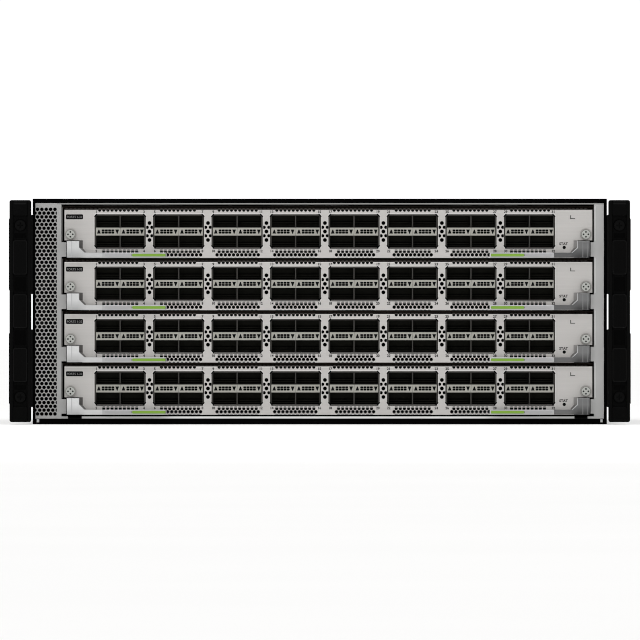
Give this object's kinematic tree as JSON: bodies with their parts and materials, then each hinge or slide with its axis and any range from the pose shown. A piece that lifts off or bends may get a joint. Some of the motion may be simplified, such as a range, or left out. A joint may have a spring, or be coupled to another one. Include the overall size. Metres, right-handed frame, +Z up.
{
  "type": "modular chassis switch",
  "caption": "Four-unit rack chassis switch with pull-out line cards of stacked pluggable ports, ejector levers, a side air grille and rack ears.",
  "frame": {"origin": "middle of the bottom of the whole object's box, on the surface it stands on", "axes": "+X to the right seen from the front, +Y from the front towards the back, +Z up"},
  "size_m": [0.4826, 0.6, 0.175],
  "materials": {
    "faceplate_metal": "brushed, warm grey",
    "tray_steel": "plain zinc-plated sheet",
    "circuit_board": "green solder mask",
    "cage_metal": "nickel-plated spring steel",
    "light_bar_plastic": "grey front with white marks",
    "screw_metal": "nickel-plated",
    "lever_metal": "satin grey",
    "black_painted_steel": "fine powder coat",
    "black_plastic": "satin",
    "grey_steel": "smooth grey",
    "spring_copper": "aged copper alloy",
    "black_screws": "black oxide",
    "socket_plastic": "moulded",
    "fan_metal": "zinc-plated sheet",
    "rotor_plastic": "glass-filled nylon",
    "supply_metal": "zinc-plated sheet"
  },
  "bodies": {
    "chassis": {"card_cage": "tray_steel", "chassis_tub": "black_painted_steel", "ear_bracket_left": "black_painted_steel", "ear_bracket_right": "black_painted_steel", "ear_cover_left": "black_plastic", "ear_cover_right": "black_plastic", "fabric_board": "circuit_board", "front_frame": "grey_steel", "midplane_board": "circuit_board", "midplane_sockets": "socket_plastic", "rack_screws": "black_screws", "side_grille": "grey_steel", "side_screws": "black_screws", "spring_finger_strips": "spring_copper", "top_cover": "black_painted_steel"},
    "card_1": {"card_1_board": "circuit_board", "card_1_faceplate": "faceplate_metal", "card_1_light_bars": "light_bar_plastic", "card_1_port_cages": "cage_metal", "card_1_tray": "tray_steel"},
    "card_1_lever_left": {"card_1_lever_left": "lever_metal"},
    "card_1_lever_right": {"card_1_lever_right": "lever_metal"},
    "card_1_screw_left": {"card_1_screw_left": "screw_metal"},
    "card_1_screw_right": {"card_1_screw_right": "screw_metal"},
    "card_2": {"card_2_board": "circuit_board", "card_2_faceplate": "faceplate_metal", "card_2_light_bars": "light_bar_plastic", "card_2_port_cages": "cage_metal", "card_2_tray": "tray_steel"},
    "card_2_lever_left": {"card_2_lever_left": "lever_metal"},
    "card_2_lever_right": {"card_2_lever_right": "lever_metal"},
    "card_2_screw_left": {"card_2_screw_left": "screw_metal"},
    "card_2_screw_right": {"card_2_screw_right": "screw_metal"},
    "card_3": {"card_3_board": "circuit_board", "card_3_faceplate": "faceplate_metal", "card_3_light_bars": "light_bar_plastic", "card_3_port_cages": "cage_metal", "card_3_tray": "tray_steel"},
    "card_3_lever_left": {"card_3_lever_left": "lever_metal"},
    "card_3_lever_right": {"card_3_lever_right": "lever_metal"},
    "card_3_screw_left": {"card_3_screw_left": "screw_metal"},
    "card_3_screw_right": {"card_3_screw_right": "screw_metal"},
    "card_4": {"card_4_board": "circuit_board", "card_4_faceplate": "faceplate_metal", "card_4_light_bars": "light_bar_plastic", "card_4_port_cages": "cage_metal", "card_4_tray": "tray_steel"},
    "card_4_lever_left": {"card_4_lever_left": "lever_metal"},
    "card_4_lever_right": {"card_4_lever_right": "lever_metal"},
    "card_4_screw_left": {"card_4_screw_left": "screw_metal"},
    "card_4_screw_right": {"card_4_screw_right": "screw_metal"},
    "fan_module_1": {"fan_module_1": "fan_metal"},
    "fan_module_2": {"fan_module_2": "fan_metal"},
    "fan_module_3": {"fan_module_3": "fan_metal"},
    "fan_rotor_1": {"fan_rotor_1": "rotor_plastic"},
    "fan_rotor_2": {"fan_rotor_2": "rotor_plastic"},
    "fan_rotor_3": {"fan_rotor_3": "rotor_plastic"},
    "supply_left": {"supply_left": "supply_metal"},
    "supply_right": {"supply_right": "supply_metal"}
  },
  "joints": [
    {"name": "card_1_slide", "type": "slide", "parent": "chassis", "child": "card_1", "axis": [0, -1, 0], "range_m": [0, 0.33]},
    {"name": "card_1_left_lever_turn", "type": "hinge", "parent": "card_1", "child": "card_1_lever_left", "pos_m": [-0.1916, -0.2937, 0.13659], "axis": [0, 0, -1], "range_deg": [0, 58]},
    {"name": "card_1_left_screw_travel", "type": "slide", "parent": "card_1", "child": "card_1_screw_left", "axis": [0, -1, 0], "range_m": [0, 0.006]},
    {"name": "card_1_right_lever_turn", "type": "hinge", "parent": "card_1", "child": "card_1_lever_right", "pos_m": [0.2046, -0.2937, 0.13659], "axis": [0, 0, 1], "range_deg": [0, 58]},
    {"name": "card_1_right_screw_travel", "type": "slide", "parent": "card_1", "child": "card_1_screw_right", "axis": [0, -1, 0], "range_m": [0, 0.006]},
    {"name": "card_2_slide", "type": "slide", "parent": "chassis", "child": "card_2", "axis": [0, -1, 0], "range_m": [0, 0.33]},
    {"name": "card_2_left_lever_turn", "type": "hinge", "parent": "card_2", "child": "card_2_lever_left", "pos_m": [-0.1916, -0.2937, 0.09596], "axis": [0, 0, -1], "range_deg": [0, 58]},
    {"name": "card_2_left_screw_travel", "type": "slide", "parent": "card_2", "child": "card_2_screw_left", "axis": [0, -1, 0], "range_m": [0, 0.006]},
    {"name": "card_2_right_lever_turn", "type": "hinge", "parent": "card_2", "child": "card_2_lever_right", "pos_m": [0.2046, -0.2937, 0.09596], "axis": [0, 0, 1], "range_deg": [0, 58]},
    {"name": "card_2_right_screw_travel", "type": "slide", "parent": "card_2", "child": "card_2_screw_right", "axis": [0, -1, 0], "range_m": [0, 0.006]},
    {"name": "card_3_slide", "type": "slide", "parent": "chassis", "child": "card_3", "axis": [0, -1, 0], "range_m": [0, 0.33]},
    {"name": "card_3_left_lever_turn", "type": "hinge", "parent": "card_3", "child": "card_3_lever_left", "pos_m": [-0.1916, -0.2937, 0.05533], "axis": [0, 0, -1], "range_deg": [0, 58]},
    {"name": "card_3_left_screw_travel", "type": "slide", "parent": "card_3", "child": "card_3_screw_left", "axis": [0, -1, 0], "range_m": [0, 0.006]},
    {"name": "card_3_right_lever_turn", "type": "hinge", "parent": "card_3", "child": "card_3_lever_right", "pos_m": [0.2046, -0.2937, 0.05533], "axis": [0, 0, 1], "range_deg": [0, 58]},
    {"name": "card_3_right_screw_travel", "type": "slide", "parent": "card_3", "child": "card_3_screw_right", "axis": [0, -1, 0], "range_m": [0, 0.006]},
    {"name": "card_4_slide", "type": "slide", "parent": "chassis", "child": "card_4", "axis": [0, -1, 0], "range_m": [0, 0.33]},
    {"name": "card_4_left_lever_turn", "type": "hinge", "parent": "card_4", "child": "card_4_lever_left", "pos_m": [-0.1916, -0.2937, 0.0147], "axis": [0, 0, -1], "range_deg": [0, 58]},
    {"name": "card_4_left_screw_travel", "type": "slide", "parent": "card_4", "child": "card_4_screw_left", "axis": [0, -1, 0], "range_m": [0, 0.006]},
    {"name": "card_4_right_lever_turn", "type": "hinge", "parent": "card_4", "child": "card_4_lever_right", "pos_m": [0.2046, -0.2937, 0.0147], "axis": [0, 0, 1], "range_deg": [0, 58]},
    {"name": "card_4_right_screw_travel", "type": "slide", "parent": "card_4", "child": "card_4_screw_right", "axis": [0, -1, 0], "range_m": [0, 0.006]},
    {"name": "fan_1_slide", "type": "slide", "parent": "chassis", "child": "fan_module_1", "axis": [0, 1, 0], "range_m": [0, 0.11]},
    {"name": "fan_1_spin", "type": "hinge", "parent": "fan_module_1", "child": "fan_rotor_1", "pos_m": [-0.142, 0.243, 0.1098], "axis": [0, 1, 0], "continuous": true},
    {"name": "fan_2_slide", "type": "slide", "parent": "chassis", "child": "fan_module_2", "axis": [0, 1, 0], "range_m": [0, 0.11]},
    {"name": "fan_2_spin", "type": "hinge", "parent": "fan_module_2", "child": "fan_rotor_2", "pos_m": [0, 0.243, 0.1098], "axis": [0, 1, 0], "continuous": true},
    {"name": "fan_3_slide", "type": "slide", "parent": "chassis", "child": "fan_module_3", "axis": [0, 1, 0], "range_m": [0, 0.11]},
    {"name": "fan_3_spin", "type": "hinge", "parent": "fan_module_3", "child": "fan_rotor_3", "pos_m": [0.142, 0.243, 0.1098], "axis": [0, 1, 0], "continuous": true},
    {"name": "supply_left_slide", "type": "slide", "parent": "chassis", "child": "supply_left", "axis": [0, 1, 0], "range_m": [0, 0.2]},
    {"name": "supply_right_slide", "type": "slide", "parent": "chassis", "child": "supply_right", "axis": [0, 1, 0], "range_m": [0, 0.2]}
  ]
}
